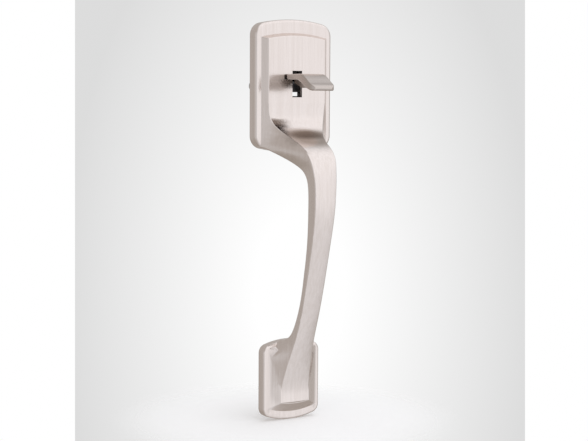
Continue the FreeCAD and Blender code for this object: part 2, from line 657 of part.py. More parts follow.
def nose_centre():
    """Where the hook's nose stands at rest, as (y, z): half the thumbpiece's travel below its middle place."""
    reach = HOOK_REACH
    drop = PIVOT_HEIGHT + CAM_PIN_RADIUS + HOOK_NOSE_RADIUS + PIN_CLEARANCE
    half = math.radians(THUMB_RANGE / 2)
    y = -PIVOT_DEPTH + reach * math.cos(half) - drop * math.sin(half)
    z = PIVOT_HEIGHT - reach * math.sin(half) - drop * math.cos(half)
    return y, z


def hook_bottom():
    """Height of the underside of the hook at rest."""
    return nose_centre()[1] - 0.5 - HOOK_FOOT_THICKNESS


def thumbpiece():
    """Thumb pad, gusset, barrel and the hook that lifts the cam's pin."""
    half = THUMB_NECK_HALF_WIDTH
    barrel_low = PIVOT_HEIGHT - BARREL_RADIUS + 0.3
    gusset = profile_x([
        (-PIVOT_DEPTH, PIVOT_HEIGHT + BARREL_RADIUS - 0.9),
        (-THUMB_PAD_BACK - 1, THUMB_PAD_TOP),
        (-THUMB_GUSSET_REACH - 4.5, THUMB_PAD_TOP - THUMB_PAD_THICKNESS),
        (-THUMB_GUSSET_REACH, THUMB_GUSSET_BOTTOM),
        (-THUMB_GUSSET_BACK, THUMB_GUSSET_BOTTOM),
        (-PANEL_FRONT + 1, THUMB_GUSSET_ROOT),
        (-PIVOT_DEPTH - BARREL_RADIUS + 0.4, barrel_low),
        (-PIVOT_DEPTH, barrel_low)], -half, half)
    barrel = cylinder_x(BARREL_RADIUS, BARREL_LEFT, BARREL_RIGHT, -PIVOT_DEPTH, PIVOT_HEIGHT)
    nose_y, nose_z = nose_centre()
    low = hook_bottom()
    front = -PIVOT_DEPTH - HOOK_THICKNESS / 2
    inside = -PIVOT_DEPTH + HOOK_THICKNESS / 2
    end = nose_y + HOOK_NOSE_RADIUS
    corner = HOOK_NOSE_RADIUS * 1.2
    hook = profile_x([
        (front, PIVOT_HEIGHT),
        (front, low + corner),
        (front + corner, low),
        (end - corner, low),
        (end, low + corner),
        (end, nose_z),
        (nose_y - HOOK_NOSE_RADIUS, nose_z),
        (nose_y - HOOK_NOSE_RADIUS - corner / 2, low + HOOK_FOOT_THICKNESS),
        (inside + corner, low + HOOK_FOOT_THICKNESS),
        (inside, low + HOOK_FOOT_THICKNESS + corner),
        (inside, PIVOT_HEIGHT)], HOOK_LEFT, HOOK_RIGHT)
    nose = cylinder_x(HOOK_NOSE_RADIUS, HOOK_LEFT, HOOK_RIGHT, nose_y, nose_z)
    body = thumb_pad().fuse([gusset, barrel, hook, nose])
    bore = cylinder_x(PIVOT_PIN_RADIUS + RUNNING_CLEARANCE, BARREL_LEFT - 1, BARREL_RIGHT + 1,
                      -PIVOT_DEPTH, PIVOT_HEIGHT)
    body = body.cut(bore).removeSplitter()
    return fillet_where(body, THUMB_PAD_EDGE_RADIUS, is_pad_rim)


def is_pad_rim(edge, middle):
    """True for the side edges of the thumb pad, above and below."""
    return abs(middle.x) > THUMB_PAD_HALF_WIDTH - THUMB_PAD_CORNER_RADIUS and middle.y < -THUMB_PAD_BACK - 1 \
        and abs(edge.tangentAt(edge.FirstParameter).z) < 0.999


def thumbpiece_pin():
    """Pivot pin with a groove for a clip near each end."""
    pin = cylinder_x(PIVOT_PIN_RADIUS, -PIVOT_PIN_HALF_LENGTH, PIVOT_PIN_HALF_LENGTH,
                     -PIVOT_DEPTH, PIVOT_HEIGHT)
    pin = pin.makeChamfer(0.3, [edge for edge in pin.Edges if abs(edge.CenterOfMass.x) > CLIP_FACE])
    grooves = []
    for sign in (-1, 1):
        x0 = sign * CLIP_FACE if sign > 0 else -CLIP_FACE - CLIP_THICKNESS - SEAT_GAP
        x1 = x0 + CLIP_THICKNESS + SEAT_GAP
        ring = cylinder_x(PIVOT_PIN_RADIUS + 1, x0, x1, -PIVOT_DEPTH, PIVOT_HEIGHT)
        core = cylinder_x(PIVOT_PIN_RADIUS - CLIP_GROOVE_DEPTH, x0, x1, -PIVOT_DEPTH, PIVOT_HEIGHT)
        grooves.append(ring.cut(core))
    return pin.cut(grooves[0].fuse(grooves[1]))


def pin_clips():
    """Two open clips in the pin's grooves, one outside each cradle."""
    clips = []
    inner = PIVOT_PIN_RADIUS - CLIP_GROOVE_DEPTH + SCREW_CLEARANCE
    for sign in (-1, 1):
        x0 = CLIP_FACE + SEAT_GAP / 2 if sign > 0 else -CLIP_FACE - SEAT_GAP / 2 - CLIP_THICKNESS
        x1 = x0 + CLIP_THICKNESS
        disc = cylinder_x(CLIP_RADIUS, x0, x1, -PIVOT_DEPTH, PIVOT_HEIGHT)
        hole = cylinder_x(inner, x0 - 1, x1 + 1, -PIVOT_DEPTH, PIVOT_HEIGHT)
        mouth = box(x0 - 1, x1 + 1, -PIVOT_DEPTH - 0.9 * inner, -PIVOT_DEPTH + 0.9 * inner,
                    PIVOT_HEIGHT, PIVOT_HEIGHT + CLIP_RADIUS + 1)
        relief = cylinder_x(0.8, x0 - 1, x1 + 1, -PIVOT_DEPTH, PIVOT_HEIGHT - CLIP_RADIUS)
        clips.append(disc.cut(hole.fuse([mouth, relief])))
    return Part.makeCompound(clips)


def coil(radius, pitch, turns, wire):
    """A coil of wire along +Z from the origin, starting on +X, made of short straight runs."""
    slope = math.atan(pitch / (2 * math.pi * radius))
    steps = math.ceil(COIL_STEPS * turns)
    sections = []
    for step in range(steps + 1):
        turn = 2 * math.pi * turns * step / steps
        out = Vector(math.cos(turn), math.sin(turn), 0)
        up = Vector(math.sin(slope) * math.sin(turn), -math.sin(slope) * math.cos(turn), math.cos(slope))
        middle = out * radius + Vector(0, 0, pitch * turns * step / steps)
        corners = []
        for side in range(WIRE_SIDES):
            angle = 2 * math.pi * (side + 0.5) / WIRE_SIDES
            corners.append(middle + out * (wire / 2 * math.cos(angle)) + up * (wire / 2 * math.sin(angle)))
        sections.append(Part.makePolygon(corners + corners[:1]))
    return Part.makeLoft(sections, True, True)


def rod(start, end, radius):
    """A round rod between two points."""
    along = end.sub(start)
    return Part.makeCylinder(radius, along.Length, start, along)


def bead(centre, wire):
    """A ball slightly thicker than the wire, where two runs of a spring meet."""
    return Part.makeSphere(wire / 2 * BEAD_RATIO, centre)


def thumbpiece_spring():
    """Torsion spring on the pivot pin: one leg up the panel, one leg under the thumbpiece's gusset."""
    wire = THUMB_SPRING_WIRE
    radius = THUMB_SPRING_RADIUS
    gusset_run = (PANEL_FRONT - 1) - (PIVOT_DEPTH + BARREL_RADIUS - 0.4)
    gusset_rise = PIVOT_HEIGHT - BARREL_RADIUS + 0.3 - THUMB_GUSSET_ROOT
    leg_y = -PANEL_BACK + SEAT_CLEARANCE + wire
    share = (PANEL_FRONT - 1 + leg_y) / gusset_run
    under = (SEAT_CLEARANCE + wire / 2) * math.hypot(gusset_run, gusset_rise) / gusset_run
    leg_z = THUMB_GUSSET_ROOT + share * gusset_rise - under
    away_y = leg_y + PIVOT_DEPTH
    away_z = leg_z - PIVOT_HEIGHT
    distance = math.hypot(away_y, away_z)
    turn = math.atan2(away_z, away_y) - math.acos(radius / distance)
    start_angle = math.atan2(math.cos(turn), -math.sin(turn))
    end_angle = start_angle + 2 * math.pi * THUMB_SPRING_TURNS
    spring = coil(radius, THUMB_SPRING_PITCH, THUMB_SPRING_TURNS, wire)
    spring.rotate(Vector(0, 0, 0), Vector(0, 0, 1), math.degrees(start_angle))
    spring.rotate(Vector(0, 0, 0), Vector(0, 1, 0), 90)
    spring.translate(Vector(SPRING_LEFT, -PIVOT_DEPTH, PIVOT_HEIGHT))
    start = Vector(SPRING_LEFT, -PIVOT_DEPTH + radius * math.sin(start_angle),
                   PIVOT_HEIGHT - radius * math.cos(start_angle))
    knee = Vector(SPRING_LEFT, leg_y, leg_z)
    toe = Vector(-THUMB_NECK_HALF_WIDTH / 2, leg_y, leg_z)
    end = Vector(SPRING_RIGHT, -PIVOT_DEPTH + radius * math.sin(end_angle),
                 PIVOT_HEIGHT - radius * math.cos(end_angle))
    along = Vector(0, math.cos(end_angle), math.sin(end_angle))
    if along.y > 0:
        along = along * -1
    reach = (end.y - leg_y) / -along.y
    tip = end + along * reach
    return spring.fuse([bead(start, wire), rod(start, knee, wire / 2), bead(knee, wire),
                        rod(knee, toe, wire / 2), bead(end, wire), rod(end, tip, wire / 2)])


def stop_bumper():
    """Rubber block on the back plate, which the hook comes to rest over."""
    top = hook_bottom() - SEAT_CLEARANCE
    block = box(HOOK_LEFT, HOOK_RIGHT, BACK_PLATE_FRONT - BUMPER_DEPTH, BACK_PLATE_FRONT,
                top - BUMPER_HEIGHT, top)
    return fillet_where(block, 0.5, lambda edge, middle: middle.y < BACK_PLATE_FRONT - 0.1)


def rounded_sheet(half_width, half_height, corner_radius, y0, y1):
    """A flat sheet with rounded corners."""
    sheet = box(-half_width, half_width, y0, y1, -half_height, half_height)
    return fillet_where(sheet, corner_radius, lambda edge, middle:
                        abs(middle.x) > half_width - 1e-6 and abs(middle.z) > half_height - 1e-6)


def back_plate():
    """Stamped plate inside the rim, with the hook's window, the sight window and the pin's tabs."""
    plate = rounded_sheet(BACK_PLATE_HALF_WIDTH, BACK_PLATE_HALF_HEIGHT, BACK_PLATE_CORNER_RADIUS,
                          BACK_PLATE_FRONT, BACK_PLATE_REAR)
    through = (BACK_PLATE_FRONT - 1, BACK_PLATE_REAR + 1)
    hook_window = box(HOOK_LEFT - HOOK_WINDOW_MARGIN, HOOK_RIGHT + HOOK_WINDOW_MARGIN, *through,
                      hook_bottom() - HOOK_WINDOW_MARGIN, HOOK_WINDOW_TOP)
    sight_window = box(SIGHT_WINDOW_INNER, SIGHT_WINDOW_OUTER, *through, SIGHT_WINDOW_BOTTOM, SIGHT_WINDOW_TOP)
    holes = [sight_window, cylinder_y(CAM_PILOT_RADIUS + RUNNING_CLEARANCE, *through)]
    for sign in (-1, 1):
        holes.append(cylinder_y(POST_SHANK_RADIUS + SCREW_CLEARANCE, *through, sign * POST_SPACING / 2))
        for end in (-1, 1):
            x, z = sign * PLATE_SCREW_X, end * PLATE_SCREW_Z
            holes.append(cylinder_y(PLATE_SCREW_RADIUS + SCREW_CLEARANCE, *through, x, z))
            holes.append(countersink(x, z, SCREW_CLEARANCE))
            holes.append(cylinder_y(BRACKET_SCREW_RADIUS + SCREW_CLEARANCE, *through,
                                    sign * BRACKET_SCREW_X, end * BRACKET_SCREW_Z))
    plate = plate.cut(hook_window.fuse(holes))
    tabs = []
    for sign in (-1, 1):
        x = sign * PIN_TAB_X
        tabs.append(box(x - SHEET / 2, x + SHEET / 2, -PIVOT_DEPTH + PIVOT_PIN_RADIUS + RUNNING_CLEARANCE,
                        BACK_PLATE_FRONT + SHEET / 2, PIVOT_HEIGHT - PIN_TAB_HALF_HEIGHT,
                        PIVOT_HEIGHT + PIN_TAB_HALF_HEIGHT))
    return plate.fuse(tabs).removeSplitter()


def countersink(x, z, clearance):
    """Cone of a countersunk head that ends flush with the back plate."""
    height = PLATE_SCREW_HEAD_RADIUS - PLATE_SCREW_RADIUS
    return Part.makeCone(PLATE_SCREW_RADIUS + clearance, PLATE_SCREW_HEAD_RADIUS + clearance, height,
                         Vector(x, BACK_PLATE_REAR - height, z), Vector(0, 1, 0))


def back_plate_screws():
    """Four countersunk screws, each with a driver slot."""
    screws = []
    for x in (-PLATE_SCREW_X, PLATE_SCREW_X):
        for z in (-PLATE_SCREW_Z, PLATE_SCREW_Z):
            shank = cylinder_y(PLATE_SCREW_RADIUS, BACK_PLATE_REAR - PLATE_SCREW_LENGTH,
                               BACK_PLATE_REAR - 0.5, x, z)
            slot = box(x - PLATE_SCREW_HEAD_RADIUS, x + PLATE_SCREW_HEAD_RADIUS, BACK_PLATE_REAR - 0.7,
                       BACK_PLATE_REAR + 1, z - 0.4, z + 0.4)
            screws.append(countersink(x, z, 0).fuse(shank).cut(slot))
    return Part.makeCompound(screws)


def latch_bracket():
    """Folded bridge over the cam, with a foot at each end."""
    half = BRACKET_HALF_HEIGHT
    end = BRACKET_FOOT_END
    rear = BRIDGE_REAR
    low = BACK_PLATE_REAR
    outline = [(low, -end), (low, -half + SHEET), (rear - SHEET, -half + SHEET), (rear - SHEET, half - SHEET),
               (low, half - SHEET), (low, end), (low + SHEET, end), (low + SHEET, half), (rear, half),
               (rear, -half), (low + SHEET, -half), (low + SHEET, -end)]
    bridge = profile_x(outline, -BRACKET_HALF_WIDTH, BRACKET_HALF_WIDTH)
    bridge = fillet_where(bridge, BRACKET_BEND_RADIUS, lambda edge, middle:
                          abs(edge.tangentAt(edge.FirstParameter).x) > 0.99 and abs(middle.z) < end - 1
                          and (abs(middle.y - rear) < 1e-6 or (abs(middle.y - low) < 1e-6)))
    bridge = fillet_where(bridge, BRACKET_BEND_RADIUS - SHEET, lambda edge, middle:
                          abs(edge.tangentAt(edge.FirstParameter).x) > 0.99 and abs(middle.z) < end - 1
                          and (abs(middle.y - rear + SHEET) < 1e-6 or abs(middle.y - low - SHEET) < 1e-6)
                          and abs(edge.Length - 2 * BRACKET_HALF_WIDTH) < 1e-6
                          and (abs(abs(middle.z) - half) < 1e-6 or abs(abs(middle.z) - half + SHEET) < 1e-6))
    holes = [cylinder_y(BUSH_RADIUS + SCREW_CLEARANCE, BRIDGE_FRONT - 1, BRIDGE_REAR + 1)]
    holes.append(cylinder_y(STUD_RADIUS, BRIDGE_FRONT - 1, BRIDGE_REAR + 1, stud_place()[0], ANCHOR_HEIGHT))
    for sign in (-1, 1):
        for side in (-1, 1):
            holes.append(cylinder_y(BRACKET_SCREW_RADIUS + SCREW_CLEARANCE, low - 1, low + SHEET + 1,
                                    sign * BRACKET_SCREW_X, side * BRACKET_SCREW_Z))
    return bridge.cut(holes[0].fuse(holes[1:]))


def bracket_screws():
    """Four pan-head screws through the bridge's feet and the back plate."""
    screws = []
    seat = BACK_PLATE_REAR + SHEET
    for sign in (-1, 1):
        for side in (-1, 1):
            x, z = sign * BRACKET_SCREW_X, side * BRACKET_SCREW_Z
            head = cylinder_y(BRACKET_SCREW_HEAD_RADIUS, seat, seat + BRACKET_SCREW_HEAD_HEIGHT, x, z)
            head = head.makeChamfer(0.6, [edge for edge in head.Edges if edge.CenterOfMass.y > seat + 1])
            shank = cylinder_y(BRACKET_SCREW_RADIUS, seat - BRACKET_SCREW_LENGTH, seat + 0.5, x, z)
            slot = box(x - BRACKET_SCREW_HEAD_RADIUS, x + BRACKET_SCREW_HEAD_RADIUS,
                       seat + BRACKET_SCREW_HEAD_HEIGHT - 0.8, seat + BRACKET_SCREW_HEAD_HEIGHT + 1,
                       z - 0.4, z + 0.4)
            screws.append(head.fuse(shank).cut(slot))
    return Part.makeCompound(screws)


def bracket_bushing():
    """Flanged bush in the bridge, which the cam's journal turns in."""
    sleeve = cylinder_y(BUSH_RADIUS, BRIDGE_FRONT, BRIDGE_REAR)
    flange = cylinder_y(BUSH_FLANGE_RADIUS, BRIDGE_REAR, BUSH_REAR)
    bore = cylinder_y(CAM_JOURNAL_RADIUS + RUNNING_CLEARANCE, BRIDGE_FRONT - 1, BUSH_REAR + 1)
    return sleeve.fuse(flange).cut(bore)


def half_round(radius, flat, y0, y1):
    """A rod along Y with a flat on its upper side."""
    body = cylinder_y(radius, y0, y1)
    return body.cut(box(-radius - 1, radius + 1, y0 - 1, y1 + 1, flat, radius + 1))


def stud_place():
    """Where the cam's spring stud stands at rest, as (x, z)."""
    half = math.radians(CAM_RANGE / 2)
    return CAM_ARM_RADIUS * math.cos(half), CAM_ARM_RADIUS * math.sin(half)


def drive_cam():
    """Cam: pilot, shaft, two-lobed arm with the lifted pin and the spring stud, and rear journal."""
    arm = cylinder_y(CAM_HUB_RADIUS, CAM_ARM_FRONT, CAM_ARM_REAR)
    bar = box(-CAM_ARM_RADIUS, CAM_ARM_RADIUS, CAM_ARM_FRONT, CAM_ARM_REAR, -CAM_LOBE_RADIUS, CAM_LOBE_RADIUS)
    lobes = [cylinder_y(CAM_LOBE_RADIUS, CAM_ARM_FRONT, CAM_ARM_REAR, sign * CAM_ARM_RADIUS)
             for sign in (-1, 1)]
    lifted = cylinder_y(CAM_PIN_RADIUS, CAM_PIN_FRONT, CAM_ARM_FRONT + 0.5, -CAM_ARM_RADIUS)
    groove = STUD_RADIUS + RETURN_WIRE + 0.1
    stud = cylinder_y(STUD_RADIUS, SPRING_DEPTH - groove / 2, CAM_ARM_FRONT + 0.5, CAM_ARM_RADIUS)
    head = cylinder_y(STUD_HEAD_RADIUS, SPRING_DEPTH - groove / 2 - STUD_HEAD_THICKNESS,
                      SPRING_DEPTH - groove / 2, CAM_ARM_RADIUS)
    turned = arm.fuse([bar] + lobes + [lifted, stud, head])
    turned.rotate(Vector(0, 0, 0), Vector(0, 1, 0), -CAM_RANGE / 2)
    pilot = cylinder_y(CAM_PILOT_RADIUS, BACK_PLATE_FRONT - 0.3, BACK_PLATE_REAR + 0.6)
    shaft = cylinder_y(CAM_SHAFT_RADIUS, BACK_PLATE_REAR + 0.3, CAM_ARM_FRONT + 0.5)
    journal = cylinder_y(CAM_JOURNAL_RADIUS, CAM_ARM_REAR - 0.5, CAM_END)
    groove_ring = cylinder_y(CAM_JOURNAL_RADIUS + 1, RING_FRONT, RING_FRONT + RING_THICKNESS + SEAT_GAP).cut(
        cylinder_y(CAM_JOURNAL_RADIUS - RING_GROOVE_DEPTH, RING_FRONT, RING_FRONT + RING_THICKNESS + SEAT_GAP))
    socket = half_round(SPINDLE_RADIUS + RUNNING_CLEARANCE, SPINDLE_FLAT + RUNNING_CLEARANCE,
                        SPINDLE_SOCKET_BOTTOM, CAM_END + 1)
    cross = Part.makeCylinder(SPINDLE_PIN_RADIUS + SCREW_CLEARANCE, 2 * CAM_SHAFT_RADIUS + 2,
                              Vector(0, SPINDLE_PIN_DEPTH, -CAM_SHAFT_RADIUS - 1), Vector(0, 0, 1))
    cam = turned.fuse([pilot, shaft, journal])
    return cam.cut(socket.fuse([groove_ring, cross])).removeSplitter()


def cam_washer():
    """Thrust washer between the cam's arm and the bridge."""
    y0 = CAM_ARM_REAR + SEAT_GAP
    y1 = y0 + CAM_WASHER_THICKNESS
    hole = cylinder_y(CAM_JOURNAL_RADIUS + 2 * RUNNING_CLEARANCE, y0 - 1, y1 + 1)
    return cylinder_y(CAM_WASHER_RADIUS, y0, y1).cut(hole)


def cam_retaining_ring():
    """Open ring in the groove at the cam's rear end."""
    y0 = RING_FRONT + SEAT_GAP / 2
    y1 = y0 + RING_THICKNESS
    inner = CAM_JOURNAL_RADIUS - RING_GROOVE_DEPTH + SCREW_CLEARANCE
    ring = cylinder_y(RING_RADIUS, y0, y1).cut(cylinder_y(inner, y0 - 1, y1 + 1))
    mouth = box(-1.2, 1.2, y0 - 1, y1 + 1, 0, RING_RADIUS + 1)
    return ring.cut(mouth)


def spindle():
    """Half-round blade from the cam to the latch."""
    front = SPINDLE_SOCKET_BOTTOM + SEAT_CLEARANCE
    blade = half_round(SPINDLE_RADIUS, SPINDLE_FLAT, front, SPINDLE_END)
    blade = blade.makeChamfer(SPINDLE_TIP_CHAMFER, [edge for edge in blade.Edges
                                                    if edge.CenterOfMass.y > SPINDLE_END - 1e-3])
    cross = Part.makeCylinder(SPINDLE_PIN_RADIUS + SCREW_CLEARANCE, 4 * SPINDLE_RADIUS,
                              Vector(0, SPINDLE_PIN_DEPTH, -2 * SPINDLE_RADIUS), Vector(0, 0, 1))
    return blade.cut(cross)


def spindle_pin():
    """Cross pin through the cam's shaft and the spindle."""
    half = CAM_SHAFT_RADIUS - 0.2
    return Part.makeCylinder(SPINDLE_PIN_RADIUS, 2 * half, Vector(0, SPINDLE_PIN_DEPTH, -half), Vector(0, 0, 1))


def spring_anchor_pin():
    """Shouldered pin riveted into the bridge, for the upper end of the return spring."""
    x = stud_place()[0]
    groove = STUD_RADIUS + RETURN_WIRE + 0.1
    stem = cylinder_y(STUD_RADIUS - SCREW_CLEARANCE, SPRING_DEPTH - groove / 2, BRIDGE_REAR, x, ANCHOR_HEIGHT)
    head = cylinder_y(STUD_HEAD_RADIUS, SPRING_DEPTH - groove / 2 - STUD_HEAD_THICKNESS,
                      SPRING_DEPTH - groove / 2, x, ANCHOR_HEIGHT)
    rivet = cylinder_y(STUD_HEAD_RADIUS, BRIDGE_REAR, BRIDGE_REAR + STUD_HEAD_THICKNESS, x, ANCHOR_HEIGHT)
    return stem.fuse([head, rivet])


def cam_return_spring():
    """Extension spring between the cam's stud and the anchor pin, with a hook at each end."""
    x, low = stud_place()
    wire = RETURN_WIRE / 2
    loop = STUD_RADIUS + wire + 3 * RUNNING_CLEARANCE
    start = low + loop + RETURN_LOOP_GAP / 2
    end = ANCHOR_HEIGHT - loop - RETURN_LOOP_GAP / 2
    turns = math.floor((end - start) / RETURN_PITCH)
    pitch = (end - start) / turns
    spring = coil(RETURN_COIL_RADIUS, pitch, turns, RETURN_WIRE)
    spring.translate(Vector(x, SPRING_DEPTH, start))
    pieces = []
    for centre, near, coil_end in ((low, low + loop, start), (ANCHOR_HEIGHT, ANCHOR_HEIGHT - loop, end)):
        hook = coil(loop, 0.0, RETURN_HOOK_TURN, RETURN_WIRE)
        hook.rotate(Vector(0, 0, 0), Vector(1, 0, 0), 90)
        hook.rotate(Vector(0, 0, 0), Vector(0, 1, 0), 90 if near > centre else -90)
        hook.translate(Vector(x, SPRING_DEPTH, centre))
        pieces.append(hook)
        middle = Vector(x, SPRING_DEPTH, coil_end)
        rim = Vector(x + RETURN_COIL_RADIUS + wire / 3, SPRING_DEPTH, coil_end)
        pieces.append(rod(Vector(x, SPRING_DEPTH, near), middle, wire * 0.97))
        pieces.append(bead(middle, RETURN_WIRE))
        pieces.append(rod(middle, rim, wire * 0.97))
    return spring.fuse(pieces)


def mounting_post(x):
    """Threaded post staked into the back plate."""
    head = cylinder_y(POST_HEAD_RADIUS, BACK_PLATE_FRONT - POST_HEAD_THICKNESS, BACK_PLATE_FRONT, x)
    shank = cylinder_y(POST_SHANK_RADIUS, BACK_PLATE_FRONT, BACK_PLATE_REAR, x)
    post = cylinder_y(POST_RADIUS, BACK_PLATE_REAR, POST_END, x)
    post = post.makeChamfer(0.5, [edge for edge in post.Edges if edge.CenterOfMass.y > POST_END - 1e-3])
    bore = cylinder_y(POST_BORE_RADIUS, BACK_PLATE_FRONT, POST_END + 1, x)
    return head.fuse([shank, post]).cut(bore)


def left_mounting_post():
    """Post on the left of the spindle."""
    return mounting_post(-POST_SPACING / 2)


def right_mounting_post():
    """Post on the right of the spindle."""
    return mounting_post(POST_SPACING / 2)


def lower_mounting_post():
    """Threaded post screwed into the foot's boss."""
    stud = cylinder_y(FOOT_POST_STUD_RADIUS, -FOOT_POST_SEAT - FOOT_POST_STUD_LENGTH, -FOOT_POST_SEAT,
                      0, FOOT_POST_Z)
    post = cylinder_y(POST_RADIUS, -FOOT_POST_SEAT, FOOT_POST_END, 0, FOOT_POST_Z)
    post = post.makeChamfer(0.5, [edge for edge in post.Edges if edge.CenterOfMass.y > FOOT_POST_END - 1e-3])
    bore = cylinder_y(POST_BORE_RADIUS, FOOT_POST_SEAT, FOOT_POST_END + 1, 0, FOOT_POST_Z)
    return stud.fuse(post).cut(bore)


PARTS = {
    "handle_body": handle_body,
    "thumbpiece": thumbpiece,
    "thumbpiece_pin": thumbpiece_pin,
    "pin_clips": pin_clips,
    "thumbpiece_spring": thumbpiece_spring,
    "stop_bumper": stop_bumper,
    "back_plate": back_plate,
    "back_plate_screws": back_plate_screws,
    "latch_bracket": latch_bracket,
    "bracket_screws": bracket_screws,
    "bracket_bushing": bracket_bushing,
    "drive_cam": drive_cam,
    "cam_washer": cam_washer,
    "cam_retaining_ring": cam_retaining_ring,
    "spindle": spindle,
    "spindle_pin": spindle_pin,
    "cam_return_spring": cam_return_spring,
    "spring_anchor_pin": spring_anchor_pin,
    "left_mounting_post": left_mounting_post,
    "right_mounting_post": right_mounting_post,
    "lower_mounting_post": lower_mounting_post,
}


def main():
    """Build every piece and write one STEP file for each."""
    os.makedirs("parts", exist_ok=True)
    for name, make in PARTS.items():
        shape = make()
        shape.exportStep("parts/%s.step" % name)
        print(name, "solids", len(shape.Solids), "valid", shape.isValid(), "volume", round(shape.Volume))


main()
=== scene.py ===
"""Entry door handleset in satin nickel: its pieces, finishes, studio and camera.

Metres. The front faces -Y, the door is on the +Y side, and +Z is up.
"""

import logging
import math
from dataclasses import dataclass, field
from enum import Enum

import bpy
from mathutils import Matrix, Vector


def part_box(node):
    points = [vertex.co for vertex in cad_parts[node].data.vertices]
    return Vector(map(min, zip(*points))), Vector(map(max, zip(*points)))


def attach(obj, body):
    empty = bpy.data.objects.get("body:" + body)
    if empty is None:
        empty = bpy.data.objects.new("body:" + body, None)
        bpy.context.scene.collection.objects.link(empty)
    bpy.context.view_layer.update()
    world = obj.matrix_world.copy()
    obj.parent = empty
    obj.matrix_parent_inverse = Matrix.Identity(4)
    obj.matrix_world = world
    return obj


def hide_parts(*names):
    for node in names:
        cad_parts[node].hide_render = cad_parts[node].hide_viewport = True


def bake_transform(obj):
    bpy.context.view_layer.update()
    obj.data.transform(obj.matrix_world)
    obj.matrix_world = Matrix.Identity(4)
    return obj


LOG = logging.getLogger("handleset")

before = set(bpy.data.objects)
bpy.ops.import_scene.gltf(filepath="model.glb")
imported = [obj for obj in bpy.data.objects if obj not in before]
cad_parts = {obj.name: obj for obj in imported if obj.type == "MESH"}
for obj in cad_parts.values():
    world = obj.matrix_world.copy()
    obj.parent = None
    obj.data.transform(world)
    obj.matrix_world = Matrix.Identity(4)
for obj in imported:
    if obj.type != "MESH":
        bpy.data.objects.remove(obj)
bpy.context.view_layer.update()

Colour = tuple[float, float, float]
Point = tuple[float, float, float]
Source = bpy.types.NodeSocket | float | tuple | Vector

PICTURE_WIDTH = 588.0
SENSOR_WIDTH = 36.0
NEAR_CLIP = 0.01
FAR_CLIP = 50.0
MERGE_DISTANCE = 2e-6
CASTING_SMOOTH_DEGREES = 24.0
WIRE_SMOOTH_DEGREES = 60.0
LARGE_FACE_WEIGHT = 60


class Grain(Enum):
    """Which way the brushing or rolling marks of a metal run."""

    ALONG_Z = (1.0, 1.0, 0.02)
    ALONG_X = (0.02, 1.0, 1.0)
    EVEN = (1.0, 1.0, 1.0)


class Mixing(Enum):
    """How a second colour is laid over a first one."""

    OVER = "MIX"
    DARKENING = "MULTIPLY"


@dataclass(frozen=True)
class Fade:
    """A change of level while a value grows.

    Attributes:
        low: The value at which it starts.
        high: The value at which it ends.
        start: The level before it.
        end: The level after it.
        soft: Whether its ends are soft.
    """

    low: float
    high: float
    start: float = 0.0
    end: float = 1.0
    soft: bool = False


WEAR_SCALE = 38.0
WEAR_DETAIL = 4.0
MARK_DETAIL = 3.0
MARK_ROUGHNESS = 0.6
MARK_CONTRAST = Fade(0.3, 0.7)
MARK_DEPTH = 0.00005
STREAK_PITCH = 640.0
STREAK_DETAIL = 1.0
STREAK_CONTRAST = Fade(0.35, 0.65)
UNEVEN_LOW = 0.6
UNEVEN_HIGH = 1.4
MOTTLE_DETAIL = 2.0
MOTTLE_DEPTH = 0.0001
PAINTED_SHADE_EDGE = Fade(0.3, 1.0, 1.0, 0.0, soft=True)
FACING_UP = Fade(0.25, 0.60, soft=True)


